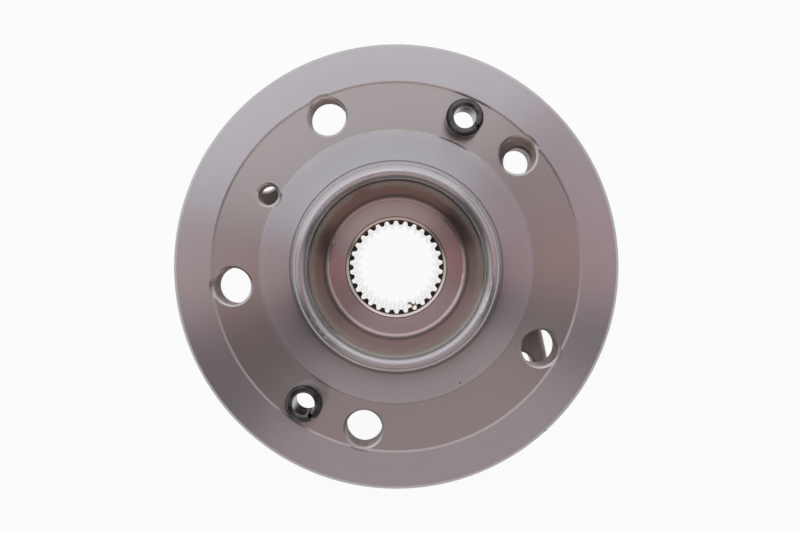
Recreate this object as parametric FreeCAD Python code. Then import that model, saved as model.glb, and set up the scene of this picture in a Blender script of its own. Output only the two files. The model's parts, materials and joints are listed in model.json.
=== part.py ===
"""Driven wheel hub bearing: a flanged hub with a splined bore, running in an outer ring on two ball rows.

Millimetres. The Z axis is the axis of rotation and points to the wheel. z = 0 is the face that the
brake disc seats on. The knuckle bolt holes lie evenly on both sides of the X axis, the wider pair at +X.
"""

import FreeCAD
import Part

import math
import os

# Length of the whole unit, from the pilot spigot's rim to the end of the formed collar
overall_length = 93.1

# Space that a cutting tool runs past the metal
overrun = 1.0

# Wheel flange of the hub
flange_dia = 151.0
flange_web = 10.0
flange_boss_depth = 14.0
flange_edge_chamfer = 1.0
outer_land_inner_dia = 126.0
inner_land_outer_dia = 92.2
land_height = 0.7
back_pad_dia = 86.0
back_draft = 35.0

# Wheel bolt holes, tapped M14 x 1.5, with a raised boss round each one on the back
wheel_bolt_count = 5
wheel_bolt_pitch_dia = 112.0
wheel_bolt_bore_dia = 12.5
wheel_bolt_mouth_dia = 14.0
wheel_bolt_boss_dia = 24.0
wheel_bolt_phase = 41.8

# Retaining screw hole of the brake disc, tapped M8, midway between two wheel bolts
disc_screw_pitch_dia = 100.0
disc_screw_bore_dia = 6.8
disc_screw_mouth_dia = 8.6
disc_screw_angle = wheel_bolt_phase + 1.5 * 360.0 / wheel_bolt_count

# Slotted spring sleeves that locate the brake disc, one to each side of the screw hole
sleeve_spread = 85.15
sleeve_pitch_dia = 110.0
sleeve_dia = 12.5
sleeve_bore_dia = 7.5
sleeve_seat_depth = 9.0
sleeve_standout = 6.0
sleeve_end_chamfer = 0.9
sleeve_slot_width = 1.3
sleeve_slot_angles = (-34.8, -61.8)
sleeve_drain_dia = 8.6
sleeve_boss_dia = 18.0
sleeve_boss_depth = 12.5

# Pilot spigot that centres the disc and the wheel, with a full round rim and the cup for the axle nut
pilot_dia = 66.5
pilot_height = 20.0
pilot_root_dia = 72.6
pilot_root_depth = 0.9
rim_inner_dia = 57.4
cup_edge_depth = 2.7
cup_mouth_depth = 3.3
cup_draft = 13.0
cup_depth = 21.0
cup_corner_radius = 1.8
nut_seat_dia = 45.0

# Splined bore for the drive shaft
spline_teeth = 30
spline_tip_dia = 29.2
spline_root_dia = 31.7
spline_flank_angle = 30.0
spline_phase = -0.5
spline_mouth_dia = 34.0
spline_mouth_depth = 0.45
spline_lead_dia = 32.0
spline_lead_angle = 40.0

# Ball rows: two angular contact rows, back to back
ball_dia = 12.7
balls_per_row = 14
ball_pitch_dia = 66.0
row_spacing = 24.0
race_clearance = 0.1
race_shoulder = 4.65
race_lip = 0.35

# Cages, moulded, snapped over the balls from the outer side of each row
cage_clearance = 0.15
cage_back = 1.1
cage_inner_dia = 63.6
cage_outer_dia = 72.4
cage_wrap = 2.9
cage_notch_width = 1.0
cage_notch_depth = 1.5

# Inner ring, pressed on the hub and held by the collar formed from the hub's end
ring_seat_dia = 45.0
inner_ring_length = 26.5
inner_ring_chamfer = 0.8
collar_seat_chamfer = 2.0
collar_dia = 58.0
collar_height = 4.6
collar_crown_dia = 51.0
shank_mouth_dia = 38.0
shank_mouth_depth = 2.0
neck_fillet = 3.3

# Outer ring with the knuckle plate
ring_end_margin = 13.0
seal_bore_step = 0.5
collar_body_dia = 90.0
knuckle_pilot_dia = 88.0
knuckle_face_depth = 50.0
plate_thickness = 12.0
outer_ring_chamfer = 1.2
plate_root_fillet = 3.5
plate_edge_radius = 2.0
pilot_relief_width = 1.6
pilot_relief_depth = 0.5

# Knuckle bolt holes, tapped M12 x 1.5, in four ears: a wide pair at +X and a narrow pair at -X
knuckle_bolt_pitch_dia = 120.0
wide_pair_spacing = 77.0
narrow_pair_spacing = 68.0
knuckle_bolt_bore_dia = 10.5
knuckle_bolt_mouth_dia = 12.4
ear_radius = 11.0
plate_disc_dia = 97.4
waist_blend_radius = 30.0

# Seals: a pressed steel case with bonded rubber lips, running on a steel slinger
seal_width = 5.0
seal_recess = 0.5
case_sheet = 0.8
case_inner_dia = 69.0
slinger_recess = 1.0
slinger_sheet = 0.6
slinger_edge_gap = 0.6
lip_clearance = 0.1
lip_film = 0.4
lip_tip = 0.4
lip_root = 0.7
lip_lean = 0.9
encoder_thickness = 0.9
encoder_inner_dia = 67.0

# Sizes and places that follow from the ones above
flange_radius = flange_dia / 2
bolt_circle_radius = wheel_bolt_pitch_dia / 2
bolt_step = 360.0 / wheel_bolt_count
recess_z = -land_height
nut_seat_z = pilot_height - cup_depth
rim_radius = (pilot_dia - rim_inner_dia) / 4
rim_crest_radius = pilot_dia / 2 - rim_radius
rim_centre_z = pilot_height - rim_radius
ball_radius = ball_dia / 2
pitch_radius = ball_pitch_dia / 2
groove_radius = ball_radius + race_clearance
collar_end_z = pilot_height - overall_length
inner_ring_end_z = collar_end_z + collar_height
middle_z = inner_ring_end_z + inner_ring_length
outboard_row_z = middle_z + row_spacing / 2
inboard_row_z = middle_z - row_spacing / 2
inner_race_radius = pitch_radius - groove_radius
outer_race_radius = pitch_radius + groove_radius
inner_shoulder_radius = inner_race_radius + race_shoulder
inner_low_radius = inner_race_radius + race_lip
outer_shoulder_radius = outer_race_radius - race_shoulder
outer_low_radius = outer_race_radius - race_lip
seal_bore_radius = outer_low_radius + seal_bore_step
ring_outboard_z = outboard_row_z + ring_end_margin
ring_inboard_z = inboard_row_z - ring_end_margin
knuckle_face_z = -knuckle_face_depth
plate_top_z = knuckle_face_z + plate_thickness
knuckle_bolt_radius = knuckle_bolt_pitch_dia / 2
seat_radius = ring_seat_dia / 2
slinger_edge_radius = seal_bore_radius - case_sheet - slinger_edge_gap

TOP = FreeCAD.Vector(0, 0, 1)
ORIGIN = FreeCAD.Vector(0, 0, 0)


def polar(radius, degrees, z=0.0):
    """Point at a radius and an angle round the axis."""
    turn = math.radians(degrees)
    return FreeCAD.Vector(radius * math.cos(turn), radius * math.sin(turn), z)


def turned(outline):
    """Solid of revolution from an outline of (r, z) points; (r, z, rm, zm) is an arc by way of (rm, zm)."""
    edges = []
    here = FreeCAD.Vector(outline[-1][0], 0, outline[-1][1])
    for step in outline:
        there = FreeCAD.Vector(step[0], 0, step[1])
        if len(step) == 4:
            way = FreeCAD.Vector(step[2], 0, step[3])
            edges.append(Part.Arc(here, way, there).toShape())
        else:
            edges.append(Part.LineSegment(here, there).toShape())
        here = there
    return Part.Face(Part.Wire(edges)).revolve(ORIGIN, TOP, 360)


def corner_way(centre_r, centre_z, radius, degrees):
    """Middle point of a rounded corner, as the last two numbers of an arc step."""
    turn = math.radians(degrees)
    return centre_r + radius * math.cos(turn), centre_z + radius * math.sin(turn)


def pillar(radius, low, high, place):
    """Upright cylinder between two heights, over a point."""
    foot = FreeCAD.Vector(place.x, place.y, low)
    return Part.makeCylinder(radius, high - low, foot, TOP)


def mouth(bore_radius, mouth_radius, face_z, place, inward):
    """Cone that chamfers a hole's mouth at 45 degrees; inward is -1 or +1, the way into the wall."""
    spare = land_height + overrun / 2
    depth = mouth_radius - bore_radius + 2 * spare
    foot = FreeCAD.Vector(place.x, place.y, face_z - inward * spare)
    return Part.makeCone(mouth_radius + spare, bore_radius - spare, depth, foot, TOP * inward)


def race_torus(row_z):
    """Ring of circular section that cuts the ball groove of one row."""
    return Part.makeTorus(pitch_radius, groove_radius, FreeCAD.Vector(0, 0, row_z))


def spline_core(low, high):
    """Bar with straight-flanked grooves that cuts the splined bore."""
    tip_radius = spline_tip_dia / 2
    root_radius = spline_root_dia / 2
    middle_radius = (tip_radius + root_radius) / 2
    half_tooth = math.pi * middle_radius / spline_teeth / 2
    lean = math.tan(math.radians(spline_flank_angle))
    half_tip = half_tooth - (middle_radius - tip_radius) * lean
    half_root = half_tooth + (root_radius - middle_radius) * lean
    tip_turn = math.degrees(half_tip / tip_radius)
    root_turn = math.degrees(half_root / root_radius)
    pitch_turn = 360.0 / spline_teeth
    edges = []
    for tooth in range(spline_teeth):
        middle = spline_phase + tooth * pitch_turn
        foot = polar(root_radius, middle - root_turn, low)
        crest = polar(tip_radius, middle - tip_turn, low)
        crest_end = polar(tip_radius, middle + tip_turn, low)
        foot_end = polar(root_radius, middle + root_turn, low)
        next_foot = polar(root_radius, middle + pitch_turn - root_turn, low)
        edges.append(Part.LineSegment(foot, crest).toShape())
        edges.append(Part.Arc(crest, polar(tip_radius, middle, low), crest_end).toShape())
        edges.append(Part.LineSegment(crest_end, foot_end).toShape())
        edges.append(Part.Arc(foot_end, polar(root_radius, middle + pitch_turn / 2, low), next_foot).toShape())
    return Part.Face(Part.Wire(edges)).extrude(TOP * (high - low))


def wheel_bolt_places():
    """Centres of the wheel bolt holes."""
    return [polar(bolt_circle_radius, wheel_bolt_phase + n * bolt_step) for n in range(wheel_bolt_count)]


def sleeve_places():
    """Centres of the spring sleeves."""
    radius = sleeve_pitch_dia / 2
    return [polar(radius, disc_screw_angle - side * sleeve_spread) for side in (1, -1)]


def hub_blank():
    """Turned body of the hub: flange, pilot spigot, seal land, race shoulder, seat and formed collar."""
    pilot_radius = pilot_dia / 2
    root_radius = pilot_root_dia / 2
    pad_radius = back_pad_dia / 2
    pad_slope = (flange_boss_depth - flange_web) * math.tan(math.radians(back_draft))
    neck_r = inner_shoulder_radius + neck_fillet
    neck_z = -flange_boss_depth - neck_fillet
    collar_radius = collar_dia / 2
    crown_radius = collar_crown_dia / 2
    shank_mouth_radius = shank_mouth_dia / 2
    bulge = 0.72
    collar_way_r = crown_radius + (collar_radius - crown_radius) * bulge
    collar_way_z = inner_ring_end_z - collar_height * bulge
    return turned([
        (0, pilot_height),
        (rim_crest_radius, pilot_height),
        (pilot_radius, rim_centre_z) + corner_way(rim_crest_radius, rim_centre_z, rim_radius, 45),
        (pilot_radius, -pilot_root_depth),
        (root_radius, -pilot_root_depth),
        (root_radius, 0),
        (inner_land_outer_dia / 2, 0),
        (inner_land_outer_dia / 2 + land_height, recess_z),
        (outer_land_inner_dia / 2 - land_height, recess_z),
        (outer_land_inner_dia / 2, 0),
        (flange_radius - flange_edge_chamfer, 0),
        (flange_radius, -flange_edge_chamfer),
        (flange_radius, -flange_web + flange_edge_chamfer),
        (flange_radius - flange_edge_chamfer, -flange_web),
        (pad_radius + pad_slope, -flange_web),
        (pad_radius, -flange_boss_depth),
        (neck_r, -flange_boss_depth),
        (inner_shoulder_radius, neck_z) + corner_way(neck_r, neck_z, neck_fillet, 135),
        (inner_shoulder_radius, outboard_row_z),
        (inner_low_radius, outboard_row_z),
        (inner_low_radius, middle_z),
        (seat_radius, middle_z),
        (seat_radius, inner_ring_end_z + collar_seat_chamfer),
        (seat_radius + collar_seat_chamfer, inner_ring_end_z),
        (collar_radius, inner_ring_end_z),
        (crown_radius, collar_end_z, collar_way_r, collar_way_z),
        (shank_mouth_radius, collar_end_z),
        (spline_root_dia / 2, collar_end_z + shank_mouth_depth),
        (0, collar_end_z + shank_mouth_depth),
    ])


def forged_pad(radius, depth, place):
    """Pad on the flange's back with the draft of the forging, wider towards the flange."""
    root_z = (recess_z - flange_web) / 2
    root_radius = radius + (depth + root_z) * math.tan(math.radians(back_draft))
    foot = FreeCAD.Vector(place.x, place.y, -depth)
    return Part.makeCone(radius, root_radius, depth + root_z, foot, TOP)


def hub_bosses():
    """Raised pads on the flange's back, round the wheel bolt holes and the sleeve holes."""
    pads = [forged_pad(wheel_bolt_boss_dia / 2, flange_boss_depth, place) for place in wheel_bolt_places()]
    pads += [forged_pad(sleeve_boss_dia / 2, sleeve_boss_depth, place) for place in sleeve_places()]
    return pads


def nut_cup():
    """Space inside the pilot spigot: round rim, bevelled mouth, drafted wall, and the seat of the axle nut."""
    rim_inner_radius = rim_inner_dia / 2
    floor_radius = nut_seat_dia / 2
    corner_z = nut_seat_z + cup_corner_radius
    draft = math.radians(cup_draft)
    foot_radius = floor_radius + cup_corner_radius * math.cos(draft)
    foot_z = corner_z - cup_corner_radius * math.sin(draft)
    mouth_z = pilot_height - cup_mouth_depth
    mouth_radius = foot_radius + (mouth_z - foot_z) * math.tan(draft)
    corner_middle = -(90 + cup_draft) / 2
    return turned([
        (0, pilot_height + overrun),
        (rim_crest_radius, pilot_height + overrun),
        (rim_crest_radius, pilot_height),
        (rim_inner_radius, rim_centre_z) + corner_way(rim_crest_radius, rim_centre_z, rim_radius, 135),
        (rim_inner_radius, pilot_height - cup_edge_depth),
        (mouth_radius, mouth_z),
        (foot_radius, foot_z),
        (floor_radius, nut_seat_z) + corner_way(floor_radius, corner_z, cup_corner_radius, corner_middle),
        (0, nut_seat_z),
    ])


def spline_lead():
    """Lead-in of the spline: a shallow bevel round its mouth, then a steeper cone across the tooth ends."""
    mouth_radius = spline_mouth_dia / 2
    lead_radius = spline_lead_dia / 2
    tip_radius = spline_tip_dia / 2
    lead_z = nut_seat_z - spline_mouth_depth
    lead_depth = (lead_radius - tip_radius) / math.tan(math.radians(spline_lead_angle))
    return turned([
        (0, nut_seat_z + overrun),
        (mouth_radius, nut_seat_z + overrun),
        (mouth_radius, nut_seat_z),
        (lead_radius, lead_z),
        (tip_radius, lead_z - lead_depth),
        (0, lead_z - lead_depth),
    ])


def hub_holes():
    """Everything drilled through the flange."""
    below = -flange_boss_depth - overrun
    cuts = []
    for place in wheel_bolt_places():
        radius = wheel_bolt_bore_dia / 2
        cuts.append(pillar(radius, below, overrun, place))
        cuts.append(mouth(radius, wheel_bolt_mouth_dia / 2, recess_z, place, -1))
        cuts.append(mouth(radius, wheel_bolt_mouth_dia / 2, -flange_boss_depth, place, 1))
    screw = polar(disc_screw_pitch_dia / 2, disc_screw_angle)
    cuts.append(pillar(disc_screw_bore_dia / 2, below, overrun, screw))
    cuts.append(mouth(disc_screw_bore_dia / 2, disc_screw_mouth_dia / 2, recess_z, screw, -1))
    for place in sleeve_places():
        cuts.append(pillar(sleeve_dia / 2, -sleeve_seat_depth, overrun, place))
        cuts.append(pillar(sleeve_drain_dia / 2, below, 0, place))
    return cuts


def wheel_hub():
    """The flanged hub: blank, pads on the back, then races, cup, spline and holes cut from it."""
    body = hub_blank().fuse(hub_bosses()).removeSplitter()
    shaft_way = spline_core(collar_end_z, nut_seat_z + overrun)
    return body.cut([race_torus(outboard_row_z), nut_cup(), shaft_way, spline_lead()] + hub_holes())


def inner_ring():
    """Separate inner ring with the inboard race."""
    chamfer = inner_ring_chamfer
    blank = turned([
        (seat_radius + chamfer, middle_z),
        (inner_low_radius - chamfer, middle_z),
        (inner_low_radius, middle_z - chamfer),
        (inner_low_radius, inboard_row_z),
        (inner_shoulder_radius, inboard_row_z),
        (inner_shoulder_radius, inner_ring_end_z + chamfer),
        (inner_shoulder_radius - chamfer, inner_ring_end_z),
        (seat_radius + collar_seat_chamfer, inner_ring_end_z),
        (seat_radius, inner_ring_end_z + collar_seat_chamfer),
        (seat_radius, middle_z - chamfer),
    ])
    return blank.cut(race_torus(inboard_row_z))


def ear_angles():
    """Angles of the four ears, round from the wide pair's lower one."""
    wide = math.degrees(math.asin(wide_pair_spacing / 2 / knuckle_bolt_radius))
    narrow = math.degrees(math.asin(narrow_pair_spacing / 2 / knuckle_bolt_radius))
    return [-wide, wide, 180 - narrow, 180 + narrow]


def knuckle_plate(low, high):
    """Disc with four ears, joined by straight flanks, between two heights."""
    disc_radius = plate_disc_dia / 2
    flank = math.degrees(math.acos((disc_radius - ear_radius) / knuckle_bolt_radius))
    ears = ear_angles()
    edges = []
    for index, ear in enumerate(ears):
        centre = polar(knuckle_bolt_radius, ear, low)
        start = centre + polar(ear_radius, ear - flank)
        end = centre + polar(ear_radius, ear + flank)
        edges.append(Part.Arc(start, centre + polar(ear_radius, ear), end).toShape())
        after = ears[index + 1] if index + 1 < len(ears) else ears[0] + 360
        next_start = polar(knuckle_bolt_radius, after, low) + polar(ear_radius, after - flank)
        middle = (ear + after) / 2
        crossing = flank - (after - ear) / 2
        if crossing > 0:
            reach = (disc_radius + waist_blend_radius) / math.cos(math.radians(crossing))
            blend = polar(reach, middle, low)
            leave = blend - polar(waist_blend_radius, middle + crossing)
            meet = blend - polar(waist_blend_radius, middle - crossing)
            way = blend - polar(waist_blend_radius, middle)
        else:
            leave = polar(disc_radius, middle + crossing, low)
            meet = polar(disc_radius, middle - crossing, low)
            way = polar(disc_radius, middle, low)
        edges.append(Part.LineSegment(end, leave).toShape())
        edges.append(Part.Arc(leave, way, meet).toShape())
        edges.append(Part.LineSegment(meet, next_start).toShape())
    return Part.Face(Part.Wire(edges)).extrude(TOP * (high - low))


def rounded_plate():
    """The knuckle plate, with the edge of its wheel side rounded."""
    plate = knuckle_plate(knuckle_face_z, plate_top_z)
    edges = [edge for edge in plate.Edges if edge.BoundBox.ZMin > plate_top_z - plate_edge_radius]
    return plate.makeFillet(plate_edge_radius, edges)


def plate_root(body_radius):
    """Hollow fillet between the ring's body and the plate's wheel side, cut off at the plate's outline."""
    size = plate_root_fillet
    edge = body_radius + size
    inside = body_radius - size
    flare = turned([
        (inside, plate_top_z - size),
        (edge, plate_top_z - size),
        (edge, plate_top_z),
        (body_radius, plate_top_z + size) + corner_way(edge, plate_top_z + size, size, 225),
        (inside, plate_top_z + size),
    ])
    return flare.common(knuckle_plate(knuckle_face_z, plate_top_z + size))


def outer_ring():
    """Stationary ring: both races, a seal seat at each end, the knuckle plate and the knuckle pilot."""
    chamfer = outer_ring_chamfer
    body_radius = collar_body_dia / 2
    guide_radius = knuckle_pilot_dia / 2
    relief_radius = guide_radius + pilot_relief_width
    relief_z = knuckle_face_z + pilot_relief_depth
    blank = turned([
        (seal_bore_radius, ring_outboard_z),
        (body_radius - chamfer, ring_outboard_z),
        (body_radius, ring_outboard_z - chamfer),
        (body_radius, relief_z),
        (guide_radius, relief_z),
        (guide_radius, ring_inboard_z + chamfer),
        (guide_radius - chamfer, ring_inboard_z),
        (seal_bore_radius, ring_inboard_z),
        (seal_bore_radius, ring_inboard_z + seal_width),
        (outer_low_radius, ring_inboard_z + seal_width),
        (outer_low_radius, inboard_row_z),
        (outer_shoulder_radius, inboard_row_z),
        (outer_shoulder_radius, outboard_row_z),
        (outer_low_radius, outboard_row_z),
        (outer_low_radius, ring_outboard_z - seal_width),
        (seal_bore_radius, ring_outboard_z - seal_width),
    ])
    below = knuckle_face_z - overrun
    above = plate_top_z + overrun
    plate = rounded_plate().cut(pillar(outer_race_radius + chamfer, below, above, ORIGIN))
    relief = turned([
        (guide_radius, relief_z),
        (relief_radius, relief_z),
        (relief_radius, below),
        (guide_radius, below),
    ])
    cuts = [race_torus(outboard_row_z), race_torus(inboard_row_z), relief]
    radius = knuckle_bolt_bore_dia / 2
    for degrees in ear_angles():
        place = polar(knuckle_bolt_radius, degrees)
        cuts.append(pillar(radius, below, above, place))
        cuts.append(mouth(radius, knuckle_bolt_mouth_dia / 2, knuckle_face_z, place, 1))
        cuts.append(mouth(radius, knuckle_bolt_mouth_dia / 2, plate_top_z, place, -1))
    return blank.fuse([plate, plate_root(body_radius)]).removeSplitter().cut(cuts)


def ball(row_z, degrees):
    """One ball on the pitch circle."""
    return Part.makeSphere(ball_radius, polar(pitch_radius, degrees, row_z))


def ball_angles(row):
    """Angles of the balls of one row; the second row is turned by half a pitch."""
    pitch_turn = 360.0 / balls_per_row
    return [(n + row / 2) * pitch_turn for n in range(balls_per_row)]


def cage(row, row_z, outward):
    """Snap cage: a ring beside the balls with a spherical pocket round each and split webs between them."""
    pocket_radius = ball_radius + cage_clearance
    back_z = row_z + outward * (pocket_radius + cage_back)
    tip_z = row_z - outward * cage_wrap
    inner = cage_inner_dia / 2
    outer = cage_outer_dia / 2
    band = turned([(inner, back_z), (outer, back_z), (outer, tip_z), (inner, tip_z)])
    cuts = []
    half_turn = 180.0 / balls_per_row
    for degrees in ball_angles(row):
        cuts.append(Part.makeSphere(pocket_radius, polar(pitch_radius, degrees, row_z)))
        notch = Part.makeBox(outer, cage_notch_width, 2 * cage_notch_depth)
        notch.translate(FreeCAD.Vector(0, -cage_notch_width / 2, tip_z - cage_notch_depth))
        notch.rotate(ORIGIN, TOP, degrees + half_turn)
        cuts.append(notch)
    return band.cut(cuts)


def seal_outline(points, end_z, outward):
    """Turns (r, depth) points into (r, z) points for the seal at one end of the outer ring."""
    return [(r, end_z - outward * depth) for r, depth in points]


def seal_case(end_z, outward):
    """Pressed steel case, tight in the outer ring."""
    wall = seal_bore_radius - case_sheet
    floor = seal_width - case_sheet
    points = [
        (seal_bore_radius, seal_recess),
        (wall, seal_recess),
        (wall, floor),
        (case_inner_dia / 2, floor),
        (case_inner_dia / 2, seal_width),
        (seal_bore_radius, seal_width),
    ]
    return turned(seal_outline(points, end_z, outward))


def seal_lips(end_z, outward):
    """Rubber bonded to the case: a film, two lips on the slinger's wall and one on its sleeve."""
    edge = case_inner_dia / 2
    floor = seal_width - case_sheet
    film = floor - lip_film
    touch = slinger_recess + slinger_sheet + lip_clearance
    sleeve = inner_shoulder_radius + slinger_sheet + lip_clearance
    bead = edge - (edge - sleeve) / 2
    first = edge + 2 * (lip_root + lip_film)
    second = edge + lip_film
    points = [(first + 2 * lip_root, floor), (first + 2 * lip_root, film)]
    for root in (first, second):
        points += [
            (root + lip_root, film),
            (root + lip_tip - lip_lean, touch),
            (root - lip_lean, touch),
            (root, film),
        ]
    points += [
        (bead + lip_film, film - lip_film),
        (sleeve, film - 2 * lip_root),
        (sleeve, film - 2 * lip_root + lip_tip),
        (bead - lip_film, film + lip_root),
        (bead - lip_film, seal_width),
        (edge, seal_width),
        (edge, floor),
    ]
    return turned(seal_outline(points, end_z, outward))


def slinger(end_z, outward):
    """Pressed steel slinger, tight on the turning side, that the lips run on."""
    land = inner_shoulder_radius
    sleeve = land + slinger_sheet
    wall = slinger_recess + slinger_sheet
    points = [
        (land, slinger_recess),
        (slinger_edge_radius, slinger_recess),
        (slinger_edge_radius, wall),
        (sleeve, wall),
        (sleeve, seal_width),
        (land, seal_width),
    ]
    return turned(seal_outline(points, end_z, outward))


def encoder():
    """Magnetised ring for the wheel speed sensor, bonded to the inboard slinger."""
    points = [
        (encoder_inner_dia / 2, slinger_recess - encoder_thickness),
        (slinger_edge_radius, slinger_recess - encoder_thickness),
        (slinger_edge_radius, slinger_recess),
        (encoder_inner_dia / 2, slinger_recess),
    ]
    return turned(seal_outline(points, ring_inboard_z, -1))


def spring_sleeve(place, slot_angle):
    """Slotted spring sleeve, pressed into the flange down to the step of its hole."""
    outer = sleeve_dia / 2
    inner = sleeve_bore_dia / 2
    chamfer = sleeve_end_chamfer
    low = -sleeve_seat_depth
    high = sleeve_standout
    tube = turned([
        (inner, low),
        (outer - chamfer, low),
        (outer, low + chamfer),
        (outer, high - chamfer),
        (outer - chamfer, high),
        (inner, high),
    ])
    slot = Part.makeBox(sleeve_dia, sleeve_slot_width, high - low + 2 * overrun)
    slot.translate(FreeCAD.Vector(0, -sleeve_slot_width / 2, low - overrun))
    slot.rotate(ORIGIN, TOP, slot_angle)
    sleeve = tube.cut(slot)
    sleeve.translate(place)
    return sleeve


def all_parts():
    """Every piece by its node name."""
    parts = {
        "wheel_hub": wheel_hub(),
        "inner_ring": inner_ring(),
        "outer_ring": outer_ring(),
        "outboard_seal_case": seal_case(ring_outboard_z, 1),
        "outboard_seal_lips": seal_lips(ring_outboard_z, 1),
        "outboard_slinger": slinger(ring_outboard_z, 1),
        "inboard_seal_case": seal_case(ring_inboard_z, -1),
        "inboard_seal_lips": seal_lips(ring_inboard_z, -1),
        "inboard_slinger": slinger(ring_inboard_z, -1),
        "speed_encoder_ring": encoder(),
    }
    for index, place in enumerate(sleeve_places()):
        parts[f"disc_sleeve_{index + 1}"] = spring_sleeve(place, sleeve_slot_angles[index])
    rows = (("outboard", outboard_row_z, 1), ("inboard", inboard_row_z, -1))
    for row, (side, row_z, outward) in enumerate(rows):
        parts[f"{side}_cage"] = cage(row, row_z, outward)
        for index, degrees in enumerate(ball_angles(row)):
            parts[f"{side}_ball_{index + 1:02d}"] = ball(row_z, degrees)
    return parts


os.makedirs("parts", exist_ok=True)
for name, shape in all_parts().items():
    solids = shape.Solids
    print(name, len(solids), "solid", round(shape.Volume, 1), "mm3", "valid" if shape.isValid() else "INVALID")
    shape.exportStep(f"parts/{name}.step")
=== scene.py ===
"""Wheel hub bearing, dressed for rendering: turned steel hub, blackened spring sleeves and what lies behind.

Metres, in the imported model's frame: Z is the axis of rotation and points to the wheel.
"""

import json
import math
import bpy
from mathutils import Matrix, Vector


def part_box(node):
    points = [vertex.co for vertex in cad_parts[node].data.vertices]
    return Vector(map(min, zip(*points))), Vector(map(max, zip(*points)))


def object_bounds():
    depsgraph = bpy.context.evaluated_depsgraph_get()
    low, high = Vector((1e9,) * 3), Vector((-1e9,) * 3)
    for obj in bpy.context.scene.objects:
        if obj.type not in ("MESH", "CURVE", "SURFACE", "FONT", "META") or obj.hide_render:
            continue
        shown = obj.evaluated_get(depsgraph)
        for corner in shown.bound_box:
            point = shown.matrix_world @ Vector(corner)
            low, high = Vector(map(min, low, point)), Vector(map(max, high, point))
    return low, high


bl_info = {
    "name": "Wheel hub bearing",
    "version": (1, 0, 0),
    "blender": (4, 5, 0),
    "location": "3D View > Sidebar > Hub bearing",
    "description": "Gives a wheel hub bearing its finishes, its studio and its camera",
    "category": "Object",
}

import bpy
from bpy.props import FloatProperty, FloatVectorProperty, PointerProperty
from mathutils import Matrix, Vector

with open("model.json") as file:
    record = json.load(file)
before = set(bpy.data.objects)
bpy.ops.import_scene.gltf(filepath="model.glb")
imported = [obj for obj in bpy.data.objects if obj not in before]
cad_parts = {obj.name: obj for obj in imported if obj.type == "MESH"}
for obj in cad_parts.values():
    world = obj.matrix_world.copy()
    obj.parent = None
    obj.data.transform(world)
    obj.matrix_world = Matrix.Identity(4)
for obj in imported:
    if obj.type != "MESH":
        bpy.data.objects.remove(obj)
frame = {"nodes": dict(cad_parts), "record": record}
cad_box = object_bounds()

MOUNTS = {mount["name"]: mount for mount in frame["record"]["mounts"]}
BALL_NODES = sorted(name for name in frame["nodes"] if "_ball_" in name)
CAGE_NODES = ("outboard_cage", "inboard_cage")
SLEEVE_NODES = ("disc_sleeve_1", "disc_sleeve_2")
LIP_NODES = ("outboard_seal_lips", "inboard_seal_lips")
SHEET_NODES = ("outboard_seal_case", "inboard_seal_case", "outboard_slinger", "inboard_slinger")
MM = 0.001

# How far the finish eases a 45 degree bevel towards flat, and the flange's two bevels: inner radius and direction
EASED_SLOPE = 0.36
LAND_BEVELS = ((0.0461, 1.0), (0.0623, -1.0))
LAND_BEVEL_WIDTH = 0.0007

# Crest of the pilot's round rim: its radius, the round's own radius, how far from the crest the finish
# flattens it, and how weakly: 2 would make it quite flat
RIM_CREST = 0.030975
RIM_ROUND = 0.002275
RIM_FLAT = 0.00078
RIM_WEAKNESS = 3.2

# How strongly the finish rounds the ends of the spring sleeves, per metre
ROLLED_END = 130.0

# Range of a noise texture that the finishes use, and the height of the turning marks and the forged skin
NOISE_RANGE = (0.3, 0.7)
HUB_GRAIN_HEIGHT = 0.0000001
PLAIN_GRAIN_HEIGHT = 0.000002
RING_GRAIN_HEIGHT = 0.00003
FORGED_SKIN_HEIGHT = 0.00012

# Hub: roughness of the ground lands, what other surfaces add to it, the heights over which the pilot's rim
# begins, how directional the steel is, how metallic the marks are, and the pale colours painted on the bevels as
# painted highlights
LAND_ROUGHNESS = (0.29, 0.30)
ADDED_ROUGHNESS = {"forged": 0.25, "cup_wall_shade": -0.10, "spline": -0.20}
BEVEL_ROUGHNESS = 0.12
MARK_ROUGHNESS = 0.7
RIM_ROUGHNESS = -0.02
RIM_FOOT = (0.0150, 0.0165)
HUB_ANISOTROPY = 0.9
MARK_METALLIC = 0.25
# Painted highlight: the bevelled mouths of the tapped holes are coloured paler than the steel, for the light they
# catch
HOLE_BEVEL_HIGHLIGHT = (0.68, 0.66, 0.65)
# Painted highlight: the bevels between the lands and the recess are coloured paler than the steel, for the light
# they catch
LAND_BEVEL_HIGHLIGHT = (0.62, 0.595, 0.585)

# Radius of the bevelled mouths of the tapped holes; on the knuckle plate, how far the mouth exceeds the bore
BOLT_MOUTH = 0.007
SCREW_MOUTH = 0.0043
KNUCKLE_BEVEL = 0.0008

# Colour of the floor in its own light, and the share of it that shows as plain white
FLOOR_COLOUR = (0.86, 0.86, 0.86)
FLOOR_WHITE = 0.94

# Hair's breadth between the floor and the lowest face, so that the two don't coincide
FLOOR_GAP = 0.0002

# Small marks on the hub: place, half its width, half its depth along the axis, and colour
SPOTS = (
    ((0.0210, -0.0395, 0.0000), 0.00034, 0.0005, (0.03, 0.025, 0.02)),
    ((0.0054, -0.0140, -0.0320), 0.00185, 0.0140, (0.95, 0.76, 0.46)),
    ((0.0499, -0.0564, -0.0003), 0.00060, 0.0006, (0.16, 0.15, 0.15)),
)

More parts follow.
